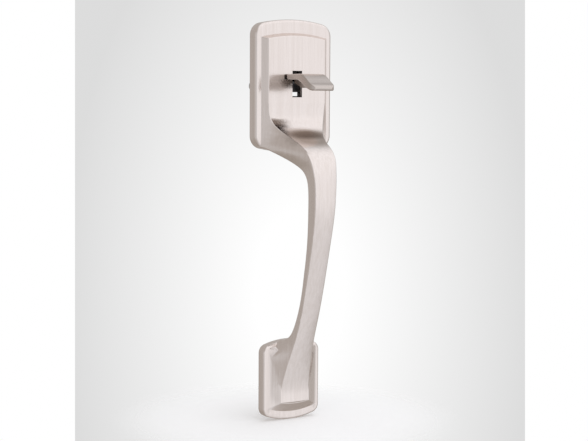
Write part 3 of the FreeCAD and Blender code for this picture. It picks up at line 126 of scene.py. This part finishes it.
@dataclass
class Graph:
    """The nodes of one material or world, with short ways to add the kinds that the finishes use.

    Attributes:
        tree: The node tree.
    """

    tree: bpy.types.NodeTree

    def feed(self, node: bpy.types.Node, key: str | int, source: Source) -> None:
        """Set one input of a node, or join another node's output to it.

        Args:
            node: The node.
            key: The input's name or place.
            source: The input's value, or the output to join.
        """
        if isinstance(source, bpy.types.NodeSocket):
            self.tree.links.new(source, node.inputs[key])
        else:
            node.inputs[key].default_value = source

    def add(self, kind: str, inputs: dict[str | int, Source], **options: str) -> bpy.types.Node:
        """Add a node, set its options and feed its inputs.

        Args:
            kind: The node's kind, such as "TexNoise".
            inputs: The value or the output for each input.
            **options: The node's own options, such as its operation.

        Returns:
            The node.
        """
        node = self.tree.nodes.new("ShaderNode" + kind)
        for name, option in options.items():
            setattr(node, name, option)
        for key, source in inputs.items():
            self.feed(node, key, source)
        return node

    def object_place(self) -> bpy.types.NodeSocket:
        """Return each point's place on the object."""
        return self.add("TexCoord", {}).outputs["Object"]

    def stretched(self, place: bpy.types.NodeSocket, pitch: float, grain: Grain) -> bpy.types.NodeSocket:
        """Return places scaled by a pitch, and far less along the grain."""
        scale = tuple(pitch * share for share in grain.value)
        return self.add("Mapping", {"Vector": place, "Scale": scale}).outputs["Vector"]

    def noise(self, place: bpy.types.NodeSocket, scale: float, detail: float,
              roughness: float = 0.5) -> bpy.types.NodeSocket:
        """Return noise at each place."""
        inputs = {"Vector": place, "Scale": scale, "Detail": detail, "Roughness": roughness}
        return self.add("TexNoise", inputs).outputs["Fac"]

    def bump(self, height: bpy.types.NodeSocket, strength: float, depth: float) -> bpy.types.NodeSocket:
        """Return the normals of a surface with fine relief."""
        inputs = {"Height": height, "Strength": strength, "Distance": depth}
        return self.add("Bump", inputs).outputs["Normal"]

    def faded(self, value: bpy.types.NodeSocket, fade: Fade) -> bpy.types.NodeSocket:
        """Work out the level that a fade gives for a value.

        Args:
            value: The value that grows.
            fade: The change of level.

        Returns:
            The level.
        """
        inputs = {"Value": value, "From Min": fade.low, "From Max": fade.high,
                  "To Min": fade.start, "To Max": fade.end}
        shape = "SMOOTHSTEP" if fade.soft else "LINEAR"
        return self.add("MapRange", inputs, interpolation_type=shape).outputs["Result"]

    def maths(self, operation: str, first: Source, second: Source) -> bpy.types.NodeSocket:
        """Return two values put together by one operation."""
        return self.add("Math", {0: first, 1: second}, operation=operation).outputs["Value"]

    def vector(self, operation: str, first: Source, second: Source) -> bpy.types.NodeSocket:
        """Return two vectors put together by one operation."""
        return self.add("VectorMath", {0: first, 1: second}, operation=operation).outputs["Vector"]

    def direction(self, vector: bpy.types.NodeSocket) -> bpy.types.NodeSocket:
        """Return a vector made one unit long."""
        return self.add("VectorMath", {0: vector}, operation="NORMALIZE").outputs["Vector"]

    def length(self, vector: bpy.types.NodeSocket) -> bpy.types.NodeSocket:
        """Return a vector's length."""
        return self.add("VectorMath", {0: vector}, operation="LENGTH").outputs["Value"]

    def dot(self, vector: bpy.types.NodeSocket, direction: Source) -> bpy.types.NodeSocket:
        """Return how far a vector goes in a direction."""
        return self.add("VectorMath", {0: vector, 1: direction}, operation="DOT_PRODUCT").outputs["Value"]

    def tint(self, share: bpy.types.NodeSocket, first: Source, second: Source,
             mixing: Mixing = Mixing.OVER) -> bpy.types.NodeSocket:
        """Lay a second colour over a first one.

        Args:
            share: How much of the second one is laid on.
            first: The first colour.
            second: The second colour.
            mixing: How it is laid on.

        Returns:
            The colour that comes out.
        """
        inputs = {"Factor": share, "A": first, "B": second}
        return self.add("Mix", inputs, data_type="RGBA", blend_type=mixing.value).outputs["Result"]

    def shown_to_camera(self, hidden: Source, seen: Source) -> bpy.types.NodeSocket:
        """Return a shader that the camera sees, with another in its place for all other rays."""
        camera = self.add("LightPath", {}).outputs["Is Camera Ray"]
        return self.add("MixShader", {"Fac": camera, 1: hidden, 2: seen}).outputs["Shader"]


def plain_material(name: str) -> tuple[bpy.types.Material, Graph, bpy.types.Node]:
    """Make a material with an output and no shader yet.

    Args:
        name: The material's name.

    Returns:
        The material, its graph and its output.
    """
    material = bpy.data.materials.new(name)
    material.use_nodes = True
    graph = Graph(material.node_tree)
    graph.tree.nodes.clear()
    return material, graph, graph.add("OutputMaterial", {})


def shaded_material(name: str) -> tuple[bpy.types.Material, Graph, bpy.types.Node]:
    """Make a material with a principled shader on its output.

    Args:
        name: The material's name.

    Returns:
        The material, its graph and its shader.
    """
    material, graph, output = plain_material(name)
    shader = graph.add("BsdfPrincipled", {})
    graph.feed(output, "Surface", shader.outputs["BSDF"])
    return material, graph, shader


@dataclass(frozen=True)
class PaintedShade:
    """Painted shade: a patch where the plating's colour is darkened to stand in for dark reflections in a
    hollow.

    Attributes:
        centre: Its middle.
        reach: How far it goes along X, Y and Z.
        tone: The share of the plating's colour that is left in its middle, as painted shade.
        faces_up: Whether only surfaces that face upwards are darker.
    """

    centre: Point
    reach: Point
    tone: Colour
    faces_up: bool = False

    def share(self, graph: Graph, place: bpy.types.NodeSocket) -> bpy.types.NodeSocket:
        """Work out how far each point is in the painted shade.

        Args:
            graph: The material's graph.
            place: Each point's place on the object.

        Returns:
            1 in the middle and 0 outside.
        """
        away = graph.vector("SUBTRACT", place, self.centre)
        radius = graph.length(graph.vector("DIVIDE", away, self.reach))
        inside = graph.faded(radius, PAINTED_SHADE_EDGE)
        if not self.faces_up:
            return inside
        normal = graph.add("NewGeometry", {}).outputs["Normal"]
        upward = graph.faded(graph.add("SeparateXYZ", {"Vector": normal}).outputs["Z"], FACING_UP)
        return graph.maths("MULTIPLY", inside, upward)


@dataclass(frozen=True)
class BrushedMetal:
    """A metal with fine directional marks.

    Attributes:
        name: The material's name.
        colour: Its reflection colour.
        shadow_colour: The slightly darker colour between the marks.
        roughness: Mean roughness.
        spread: How far the roughness varies.
        grain: The direction of the marks.
        pitch: How many marks there are in a metre, roughly.
        depth: Bump strength of the marks.
        anisotropy: How far highlights stretch across the marks.
        streak: How far broad streaks of the brushing show beside the fine marks.
        painted_shades: Places where shade is painted into the colour.
    """

    name: str
    colour: Colour
    shadow_colour: Colour
    roughness: float
    spread: float
    grain: Grain
    pitch: float
    depth: float
    anisotropy: float = 0.0
    streak: float = 0.0
    painted_shades: tuple[PaintedShade, ...] = ()

    def build(self) -> bpy.types.Material:
        """Make the material.

        Returns:
            The material.
        """
        material, graph, shader = shaded_material(self.name)
        place = graph.object_place()
        marks = graph.noise(graph.stretched(place, self.pitch, self.grain), 1.0, MARK_DETAIL, MARK_ROUGHNESS)
        wear = graph.noise(place, WEAR_SCALE, WEAR_DETAIL)
        light = self.with_streaks(graph, place, graph.faded(marks, MARK_CONTRAST))
        colour = graph.tint(light, (*self.shadow_colour, 1.0), (*self.colour, 1.0))
        # Painted shade: dark reflections darkened into the plating's colour.
        for painted_shade in self.painted_shades:
            share = painted_shade.share(graph, place)
            colour = graph.tint(share, colour, (*painted_shade.tone, 1.0), Mixing.DARKENING)
        smoothest, roughest = self.roughness - self.spread, self.roughness + self.spread
        unevenness = Fade(UNEVEN_LOW, UNEVEN_HIGH, smoothest, roughest)
        graph.feed(shader, "Base Color", colour)
        graph.feed(shader, "Roughness", graph.faded(graph.maths("ADD", marks, wear), unevenness))
        graph.feed(shader, "Normal", graph.bump(marks, self.depth, MARK_DEPTH))
        graph.feed(shader, "Metallic", 1.0)
        if self.anisotropy > 0.0:
            around = graph.add("Tangent", {}, direction_type="RADIAL", axis="Z").outputs["Tangent"]
            graph.feed(shader, "Anisotropic", self.anisotropy)
            graph.feed(shader, "Tangent", around)
        return material

    def with_streaks(self, graph: Graph, place: bpy.types.NodeSocket,
                     marks: bpy.types.NodeSocket) -> bpy.types.NodeSocket:
        """Lay broad streaks over the fine marks.

        Args:
            graph: The material's graph.
            place: Each point's place on the object.
            marks: How light the fine marks are.

        Returns:
            How light the metal is at each point, from 0 to 1.
        """
        if self.streak <= 0.0:
            return marks
        bands = graph.noise(graph.stretched(place, STREAK_PITCH, self.grain), 1.0, STREAK_DETAIL)
        both = {"Factor": self.streak, "A": marks, "B": graph.faded(bands, STREAK_CONTRAST)}
        return graph.add("Mix", both).outputs["Result"]


@dataclass(frozen=True)
class MouldedRubber:
    """Matt rubber with a fine mottled surface.

    Attributes:
        name: The material's name.
        colour: Its colour.
        roughness: Its roughness.
        mottle: How many spots there are in a metre, roughly.
        relief: Bump strength of the spots.
    """

    name: str
    colour: Colour
    roughness: float = 0.75
    mottle: float = 1400.0
    relief: float = 0.3

    def build(self) -> bpy.types.Material:
        """Make the material.

        Returns:
            The material.
        """
        material, graph, shader = shaded_material(self.name)
        spots = graph.noise(graph.object_place(), self.mottle, MOTTLE_DETAIL)
        graph.feed(shader, "Normal", graph.bump(spots, self.relief, MOTTLE_DEPTH))
        graph.feed(shader, "Base Color", (*self.colour, 1.0))
        graph.feed(shader, "Roughness", self.roughness)
        return material


# Painted shade: the dark reflection in the neck's cove, darkened into the plating on faces that look up.
NECK_PAINTED_SHADE = PaintedShade(centre=(0.002, -0.0245, -0.0345), reach=(0.0270, 0.0085, 0.0095),
                     tone=(0.36, 0.31, 0.27), faces_up=True)
NECK_SLOPE_PAINTED_SHADE = PaintedShade(centre=(0.003, -0.0300, -0.0385), reach=(0.0260, 0.0160, 0.0120),
                    tone=(0.52, 0.48, 0.44), faces_up=True)
# Painted shade: the thumbpiece's root by the slot, darkened where it reflects the dark slot.
LEVER_ROOT_PAINTED_SHADE = PaintedShade(centre=(0.0, -0.0150, 0.0010), reach=(0.0150, 0.0200, 0.0120),
                    tone=(0.16, 0.135, 0.115))

SATIN_NICKEL = BrushedMetal(
    name="satin_nickel_brushed", colour=(0.772, 0.703, 0.668), shadow_colour=(0.698, 0.624, 0.582),
    roughness=0.18, spread=0.04, grain=Grain.ALONG_Z, pitch=5200.0, depth=0.25, anisotropy=0.60,
    streak=0.45, painted_shades=(NECK_PAINTED_SHADE, NECK_SLOPE_PAINTED_SHADE))
# Painted shade: the thumbpiece is the same satin nickel as the casting, given a darker colour to stand in
# for its shade.
SHADED_LEVER_NICKEL = BrushedMetal(
    name="satin_nickel_lever_shaded", colour=(0.575, 0.515, 0.475), shadow_colour=(0.495, 0.435, 0.40),
    roughness=0.18, spread=0.04, grain=Grain.ALONG_X, pitch=5200.0, depth=0.25,
    streak=0.35, painted_shades=(LEVER_ROOT_PAINTED_SHADE,))
TURNED_STEEL = BrushedMetal(
    name="turned_steel", colour=(0.56, 0.56, 0.56), shadow_colour=(0.48, 0.48, 0.49),
    roughness=0.34, spread=0.07, grain=Grain.EVEN, pitch=2600.0, depth=0.15)
ROLLED_ZINC = BrushedMetal(
    name="zinc_plated_sheet", colour=(0.66, 0.67, 0.68), shadow_colour=(0.58, 0.59, 0.61),
    roughness=0.38, spread=0.08, grain=Grain.ALONG_X, pitch=1500.0, depth=0.12)
DRAWN_WIRE = BrushedMetal(
    name="spring_wire", colour=(0.40, 0.40, 0.41), shadow_colour=(0.30, 0.30, 0.31),
    roughness=0.30, spread=0.06, grain=Grain.EVEN, pitch=3000.0, depth=0.1)
SINTERED_BRASS = BrushedMetal(
    name="sintered_brass", colour=(0.72, 0.55, 0.28), shadow_colour=(0.60, 0.44, 0.20),
    roughness=0.42, spread=0.08, grain=Grain.EVEN, pitch=2200.0, depth=0.2)
BLACK_RUBBER = MouldedRubber(name="black_rubber", colour=(0.018, 0.018, 0.019))


class DriveFinish(Enum):
    """The finishes of the small pieces behind the upper plate."""

    STEEL = TURNED_STEEL
    ZINC = ROLLED_ZINC
    WIRE = DRAWN_WIRE
    BRASS = SINTERED_BRASS
    RUBBER = BLACK_RUBBER


def none_selected() -> None:
    """Deselect every object."""
    bpy.ops.object.select_all(action="DESELECT")


def make_active(piece: bpy.types.Object) -> None:
    """Select one object alone and make it active.

    Args:
        piece: The object.
    """
    none_selected()
    piece.select_set(True)
    bpy.context.view_layer.objects.active = piece


def merged_copy(node: str, name: str, angle: float) -> bpy.types.Object:
    """Copy a node's mesh, merge its loose triangles and smooth it up to an angle.

    Args:
        node: The node to copy.
        name: The new piece's name.
        angle: Faces that meet at less than this many degrees are shaded as one surface.

    Returns:
        The new piece.
    """
    piece = bpy.data.objects.new(name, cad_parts[node].data.copy())
    bpy.context.scene.collection.objects.link(piece)
    make_active(piece)
    if piece.data.has_custom_normals:
        bpy.ops.mesh.customdata_custom_splitnormals_clear()
    bpy.ops.object.mode_set(mode="EDIT")
    bpy.ops.mesh.select_all(action="SELECT")
    bpy.ops.mesh.remove_doubles(threshold=MERGE_DISTANCE)
    bpy.ops.object.mode_set(mode="OBJECT")
    bpy.ops.object.shade_smooth_by_angle(angle=math.radians(angle), keep_sharp_edges=False)
    weighted = piece.modifiers.new("weighted", "WEIGHTED_NORMAL")
    weighted.keep_sharp = True
    weighted.weight = LARGE_FACE_WEIGHT
    bpy.ops.object.modifier_apply(modifier=weighted.name)
    none_selected()
    return piece


def dress(piece: bpy.types.Object, material: bpy.types.Material) -> None:
    """Give every slot of a piece one material.

    Args:
        piece: The piece.
        material: The material.
    """
    if not piece.material_slots:
        piece.data.materials.append(material)
    for holder in piece.material_slots:
        holder.material = material


@dataclass
class PlatedCasting:
    """A piece cast and plated in satin nickel, made from one node.

    Attributes:
        node: The node that it stands for.
        name: The piece's name.
        body: The body that it rides on.
    """

    node: str
    name: str
    body: str

    def build(self, finish: bpy.types.Material) -> bpy.types.Object:
        """Make the piece in place of its node.

        Args:
            finish: The material of its surfaces.

        Returns:
            The piece.
        """
        piece = merged_copy(self.node, self.name, CASTING_SMOOTH_DEGREES)
        dress(piece, finish)
        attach(piece, self.body)
        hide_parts(self.node)
        LOG.info("%s: %d faces", self.name, len(piece.data.polygons))
        return piece


@dataclass
class WorkingSpring:
    """A spring made from its node's mesh, left where it is.

    Attributes:
        node: The node that it stands for.
        name: The piece's name.
        moving: Not used.
        fixed_end: Not used.
        moving_end: Not used.
    """

    node: str
    name: str
    moving: str
    fixed_end: Point
    moving_end: Point

    def build(self, finish: bpy.types.Material) -> bpy.types.Object:
        """Make the spring in place of its node.

        Args:
            finish: The material of its wire.

        Returns:
            The piece.
        """
        piece = merged_copy(self.node, self.name, WIRE_SMOOTH_DEGREES)
        dress(piece, finish)
        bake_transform(piece)
        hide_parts(self.node)
        LOG.info("%s: %d faces", self.name, len(piece.data.polygons))
        return piece


@dataclass
class LatchDrive:
    """The small pieces behind the upper plate.

    Attributes:
        hook: Height of each hook of the cam's spring.
        coil_left: Where the coil of the thumbpiece's spring meets the leg under the lever.
        coil_right: Where it meets the leg on the panel.
        finishes: The finish of each node that is shown as it is.
    """

    hook: float = 0.0034
    coil_left: Point = (0.00470, -0.0052, 0.0064)
    coil_right: Point = (0.00965, -0.0052, 0.0064)
    finishes: dict[str, DriveFinish] = field(default_factory=lambda: {
        "thumbpiece_pin": DriveFinish.STEEL,
        "pin_clips": DriveFinish.STEEL,
        "stop_bumper": DriveFinish.RUBBER,
        "back_plate": DriveFinish.ZINC,
        "back_plate_screws": DriveFinish.STEEL,
        "latch_bracket": DriveFinish.ZINC,
        "bracket_screws": DriveFinish.STEEL,
        "bracket_bushing": DriveFinish.BRASS,
        "drive_cam": DriveFinish.STEEL,
        "cam_washer": DriveFinish.STEEL,
        "cam_retaining_ring": DriveFinish.WIRE,
        "spindle": DriveFinish.STEEL,
        "spindle_pin": DriveFinish.STEEL,
        "spring_anchor_pin": DriveFinish.STEEL,
        "left_mounting_post": DriveFinish.STEEL,
        "right_mounting_post": DriveFinish.STEEL,
        "lower_mounting_post": DriveFinish.STEEL,
    })

    def build(self) -> None:
        """Dress the nodes that are shown as they are, and make the two springs."""
        materials = {finish: finish.value.build() for finish in DriveFinish}
        for node, finish in self.finishes.items():
            dress(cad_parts[node], materials[finish])
            LOG.info("%s: %s", node, finish.value.name)
        self.cam_spring().build(materials[DriveFinish.WIRE])
        self.lever_spring().build(materials[DriveFinish.WIRE])

    def cam_spring(self) -> WorkingSpring:
        """Work out where the cam's spring is held.

        Returns:
            The extension spring between the anchor pin and the cam's stud.
        """
        low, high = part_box("cam_return_spring")
        middle = (low[0] + high[0]) / 2
        top = (middle, low[1], high[2] - self.hook)
        bottom = (middle, low[1], low[2] + self.hook)
        return WorkingSpring("cam_return_spring", "cam_return_spring_wire", "latch_drive", top, bottom)

    def lever_spring(self) -> WorkingSpring:
        """Return the torsion spring between the panel and the lever."""
        return WorkingSpring("thumbpiece_spring", "thumbpiece_spring_wire", "thumb_lever",
                             self.coil_right, self.coil_left)


@dataclass(frozen=True)
class Viewpoint:
    """The photo's camera.

    Attributes:
        heading: How far it is turned to the right of straight ahead, in degrees.
        distance: How far it stands back from the origin.
        side: How far it stands to the right of the line through the origin.
        height: Its height.
        focal: Its focal length, in pixels of the picture.
        pitch: How far it looks down, in degrees.
        roll: Its roll, in degrees.
    """

    heading: float = 30.265
    distance: float = 1.01304
    side: float = 0.00498
    height: float = -0.01352
    focal: float = 1379.8
    pitch: float = 4.79448
    roll: float = 0.3116

    def matrix(self) -> Matrix:
        """Work out where the camera stands and looks.

        Returns:
            Its place and direction.
        """
        turn = math.radians(self.heading)
        forward = Vector((math.sin(turn), math.cos(turn), 0.0))
        right = Vector((math.cos(turn), -math.sin(turn), 0.0))
        place = right * self.side - forward * self.distance + Vector((0.0, 0.0, self.height))
        facing = forward.to_track_quat("-Z", "Y").to_matrix().to_4x4()
        down = Matrix.Rotation(math.radians(-self.pitch), 4, "X")
        roll = Matrix.Rotation(math.radians(self.roll), 4, "Z")
        return Matrix.Translation(place) @ facing @ down @ roll

    def build(self) -> None:
        """Add the camera."""
        data = bpy.data.cameras.new("camera")
        data.sensor_width = SENSOR_WIDTH
        data.lens = self.focal / PICTURE_WIDTH * SENSOR_WIDTH
        data.clip_start = NEAR_CLIP
        data.clip_end = FAR_CLIP
        holder = bpy.data.objects.new("camera", data)
        bpy.context.scene.collection.objects.link(holder)
        holder.matrix_world = self.matrix()
        bpy.context.scene.camera = holder
        LOG.info("camera: turned %.1f degrees, %.1f down", self.heading, self.pitch)


def see_through(graph: Graph) -> bpy.types.NodeSocket:
    """Return a shader that shows nothing."""
    return graph.add("BsdfTransparent", {}).outputs["BSDF"]


@dataclass
class BackCard:
    """The pale card behind the object, square to the camera. Pixels are the picture's.

    Attributes:
        viewpoint: The camera that it faces.
        behind: How far it stands behind the origin, in metres.
        width: Its width, in pixels.
        height: Its height, in pixels.
        right: How far its middle is to the right of the picture's, in pixels.
        glow_drop: How far its brightest point is below the picture's middle, in pixels.
        glow: How its light fades with the distance from that point, in pixels.
        stretch: How fast it fades up and down, as a share of how fast it fades sideways.
    """

    viewpoint: Viewpoint
    behind: float = 2.0
    width: float = 450.0
    height: float = 900.0
    right: float = 6.0
    glow_drop: float = 70.0
    glow: Fade = Fade(45.0, 235.0, 1.0, 0.72)
    stretch: float = 0.55

    def build(self) -> None:
        """Add the card."""
        view = self.viewpoint.matrix()
        far = self.viewpoint.distance + self.behind
        pixel = far / self.viewpoint.focal
        size = Matrix.Diagonal((self.width * pixel, self.height * pixel, 1.0, 1.0))
        none_selected()
        bpy.ops.mesh.primitive_plane_add(size=1.0)
        card = bpy.context.active_object
        card.name = "card"
        card.matrix_world = view @ Matrix.Translation((self.right * pixel, 0.0, -far)) @ size
        bpy.ops.object.transform_apply(location=True, rotation=True, scale=True)
        centre = view @ Vector((self.right * pixel, -self.glow_drop * pixel, -far))
        dress(card, self.material(view.to_3x3(), centre, pixel))
        LOG.info("card: %.2f m wide", self.width * pixel)

    def material(self, view: Matrix, centre: Vector, pixel: float) -> bpy.types.Material:
        """Make the card's glow, which the metal doesn't reflect.

        Args:
            view: The camera's direction.
            centre: The brightest point.
            pixel: The size of one of the picture's pixels on the card, in metres.

        Returns:
            The material.
        """
        material, graph, output = plain_material("card_glow")
        away = graph.vector("SUBTRACT", graph.object_place(), centre)
        across = graph.dot(away, view @ Vector((1.0, 0.0, 0.0)) / pixel)
        along = graph.dot(away, view @ Vector((0.0, 1.0, 0.0)) * self.stretch / pixel)
        radius = graph.length(graph.add("CombineXYZ", {"X": across, "Y": along}).outputs["Vector"])
        shine = graph.add("Emission", {"Strength": graph.faded(radius, self.glow)}).outputs["Emission"]
        graph.feed(output, "Surface", graph.shown_to_camera(see_through(graph), shine))
        return material


@dataclass
class Floor:
    """The floor that takes the object's soft shadow, and fades into the card further out.

    Attributes:
        height: Its height, just under the foot.
        size: Its length and width.
        grey: How pale it is.
        glow: How much light it gives off by itself.
        vanishing: How it goes away with the distance from the origin.
    """

    height: float = -0.2455
    size: float = 3.0
    grey: float = 0.90
    glow: float = 0.17
    vanishing: Fade = Fade(0.2496, 0.2800, soft=True)

    def build(self) -> None:
        """Add the floor."""
        none_selected()
        bpy.ops.mesh.primitive_plane_add(size=self.size, location=(0.0, 0.0, self.height))
        floor = bpy.context.active_object
        floor.name = "floor"
        bpy.ops.object.transform_apply(location=True, rotation=True, scale=True)
        dress(floor, self.material())
        LOG.info("floor: at %.4f m", self.height)

    def material(self) -> bpy.types.Material:
        """Make the floor's finish, which the metal doesn't reflect.

        Returns:
            The material.
        """
        material, graph, output = plain_material("pale_floor")
        matt = graph.add("BsdfDiffuse", {"Color": (self.grey, self.grey, self.grey, 1.0)}).outputs["BSDF"]
        glow = graph.add("Emission", {"Strength": self.glow}).outputs["Emission"]
        lit = graph.add("AddShader", {0: matt, 1: glow}).outputs["Shader"]
        gone = graph.faded(graph.length(graph.object_place()), self.vanishing)
        left = graph.add("MixShader", {"Fac": gone, 1: lit, 2: see_through(graph)}).outputs["Shader"]
        graph.feed(output, "Surface", graph.shown_to_camera(see_through(graph), left))
        return material


@dataclass
class Room:
    """The light from each direction: a pale front, darker sides and back, and a canopy overhead.

    Attributes:
        front: Compass bearing of the bright front, in degrees from -Y towards +X.
        gap: Direction of the darker gap on the right.
        overhead: Direction of the brightest part of the canopy.
        front_light: The light that the front adds, by how far a direction points there.
        side_light: The light of the back and the sides, by the same measure.
        gap_light: The light that the gap takes away, by how far a direction points into it.
        below: How the walls get darker downwards, by a direction's slope.
        walls_end: How the walls end upwards, by a direction's slope.
        canopy_start: How the canopy takes their place.
        canopy_light: The canopy's light, by how far a direction points at its brightest part.
        warm: Tint of the darkest parts.
        cool: Tint of the brightest parts.
        tinting: How the tint goes from warm to cool as the light grows.
    """

    front: float = 14.0
    gap: Point = (0.995, 0.1, 0.0)
    overhead: Point = (0.45, -0.55, 0.70)
    front_light: Fade = Fade(0.45, 0.95, 0.0, 0.38, soft=True)
    side_light: Fade = Fade(-1.0, 0.1, 0.545, 0.73, soft=True)
    gap_light: Fade = Fade(0.72, 1.0, 0.0, -0.12, soft=True)
    below: Fade = Fade(-0.60, -0.05, 0.80, 1.0, soft=True)
    walls_end: Fade = Fade(0.08, 0.50, 1.0, 0.0, soft=True)
    canopy_start: Fade = Fade(0.08, 0.50, soft=True)
    canopy_light: Fade = Fade(0.25, 0.85, 0.56, 1.18, soft=True)
    warm: Colour = (1.0, 0.90, 0.80)
    cool: Colour = (0.99, 1.0, 1.03)
    tinting: Fade = Fade(0.25, 0.85, soft=True)

    def build(self) -> None:
        """Make the world. The camera itself sees plain white."""
        world = bpy.data.worlds.new("studio")
        bpy.context.scene.world = world
        world.use_nodes = True
        graph = Graph(world.node_tree)
        graph.tree.nodes.clear()
        ray = graph.direction(graph.add("TexCoord", {}).outputs["Generated"])
        slope = graph.dot(ray, (0.0, 0.0, 1.0))
        walls = graph.maths("MULTIPLY", self.walls(graph, ray), graph.faded(slope, self.below))
        walls = graph.maths("MULTIPLY", walls, graph.faded(slope, self.walls_end))
        canopy = graph.faded(graph.dot(ray, Vector(self.overhead).normalized()), self.canopy_light)
        canopy = graph.maths("MULTIPLY", canopy, graph.faded(slope, self.canopy_start))
        level = graph.maths("ADD", walls, canopy)
        colour = graph.tint(graph.faded(level, self.tinting), (*self.warm, 1.0), (*self.cool, 1.0))
        room = graph.add("Background", {"Color": colour, "Strength": level}).outputs["Background"]
        white = graph.add("Background", {"Color": (1.0, 1.0, 1.0, 1.0)}).outputs["Background"]
        graph.add("OutputWorld", {"Surface": graph.shown_to_camera(room, white)})
        LOG.info("room: front at %.0f degrees", self.front)

    def walls(self, graph: Graph, ray: bpy.types.NodeSocket) -> bpy.types.NodeSocket:
        """Make the light that comes from the side, by its compass bearing.

        Args:
            graph: The world's graph.
            ray: The direction that is looked at.

        Returns:
            How bright the room is in that direction.
        """
        bearing = graph.direction(graph.vector("MULTIPLY", ray, (1.0, 1.0, 0.0)))
        turn = math.radians(self.front)
        ahead = graph.dot(bearing, (math.sin(turn), -math.cos(turn), 0.0))
        lit = graph.maths("ADD", graph.faded(ahead, self.front_light), graph.faded(ahead, self.side_light))
        return graph.maths("ADD", lit, graph.faded(graph.dot(bearing, self.gap), self.gap_light))


def main() -> None:
    """Build the handleset and its studio."""
    logging.basicConfig(level=logging.INFO, format="%(message)s")
    PlatedCasting("handle_body", "handle_casting", "trim").build(SATIN_NICKEL.build())
    PlatedCasting("thumbpiece", "thumb_lever_casting", "thumb_lever").build(SHADED_LEVER_NICKEL.build())
    LatchDrive().build()
    bpy.context.scene.view_settings.view_transform = "Standard"
    viewpoint = Viewpoint()
    viewpoint.build()
    BackCard(viewpoint).build()
    Floor().build()
    Room().build()


if __name__ == "__main__":
    main()
